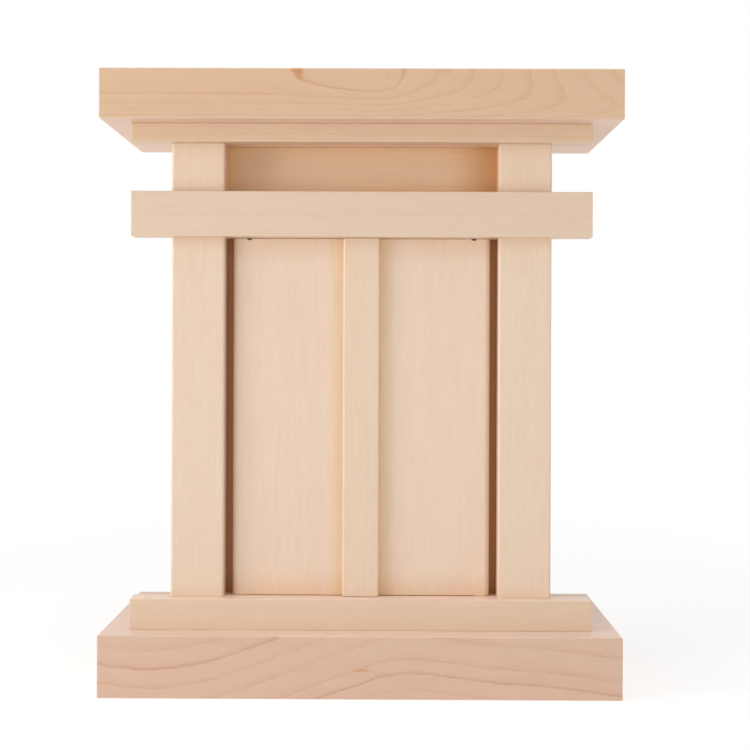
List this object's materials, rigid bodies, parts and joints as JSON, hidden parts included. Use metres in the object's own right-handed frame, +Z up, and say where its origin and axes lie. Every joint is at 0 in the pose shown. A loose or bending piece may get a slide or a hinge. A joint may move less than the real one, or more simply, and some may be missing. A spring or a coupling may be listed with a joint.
{
  "type": "shinto ancestral altar",
  "caption": "Small plain wooden house altar: a cabinet with a pair of hinged doors between two pillars, a flat roof board and a thick base.",
  "frame": {"origin": "middle of the base board's underside, on the surface that it stands on", "axes": "+X to the viewer's right, the doors face -Y, +Z up"},
  "size_m": [0.25, 0.12, 0.3],
  "materials": {
    "thick_boards": "planed, unvarnished",
    "front_strips": "planed, unvarnished",
    "pillars": "planed, unvarnished",
    "doors": "planed, unvarnished",
    "cabinet": "planed, unvarnished",
    "pins": "planed, unvarnished"
  },
  "bodies": {
    "cabinet": {"base_board": "thick_boards", "floor_board": "cabinet", "front_sill": "front_strips", "left_pillar": "pillars", "right_pillar": "pillars", "cross_beam": "front_strips", "frieze_rail": "front_strips", "ceiling_board": "cabinet", "roof_board": "thick_boards", "door_head": "cabinet", "transom_panel": "cabinet", "left_jamb": "cabinet", "right_jamb": "cabinet", "upper_door_stop": "cabinet", "lower_door_stop": "cabinet", "left_side_wall": "cabinet", "right_side_wall": "cabinet", "back_board": "cabinet"},
    "left_leaf": {"left_door": "doors", "door_batten": "doors", "left_door_lower_pin": "pins", "left_door_upper_pin": "pins"},
    "right_leaf": {"right_door": "doors", "right_door_lower_pin": "pins", "right_door_upper_pin": "pins"}
  },
  "joints": [
    {"name": "left_door_hinge", "type": "hinge", "parent": "cabinet", "child": "left_leaf", "pos_m": [-0.0599, -0.031, 0.133], "axis": [0, 0, -1], "range_deg": [0, 100]},
    {"name": "right_door_hinge", "type": "hinge", "parent": "cabinet", "child": "right_leaf", "pos_m": [0.0599, -0.031, 0.133], "axis": [0, 0, 1], "range_deg": [0, 100]}
  ],
  "couplings": [
    {"joint": "right_door_hinge", "follows": "left_door_hinge", "ratio": 1}
  ]
}
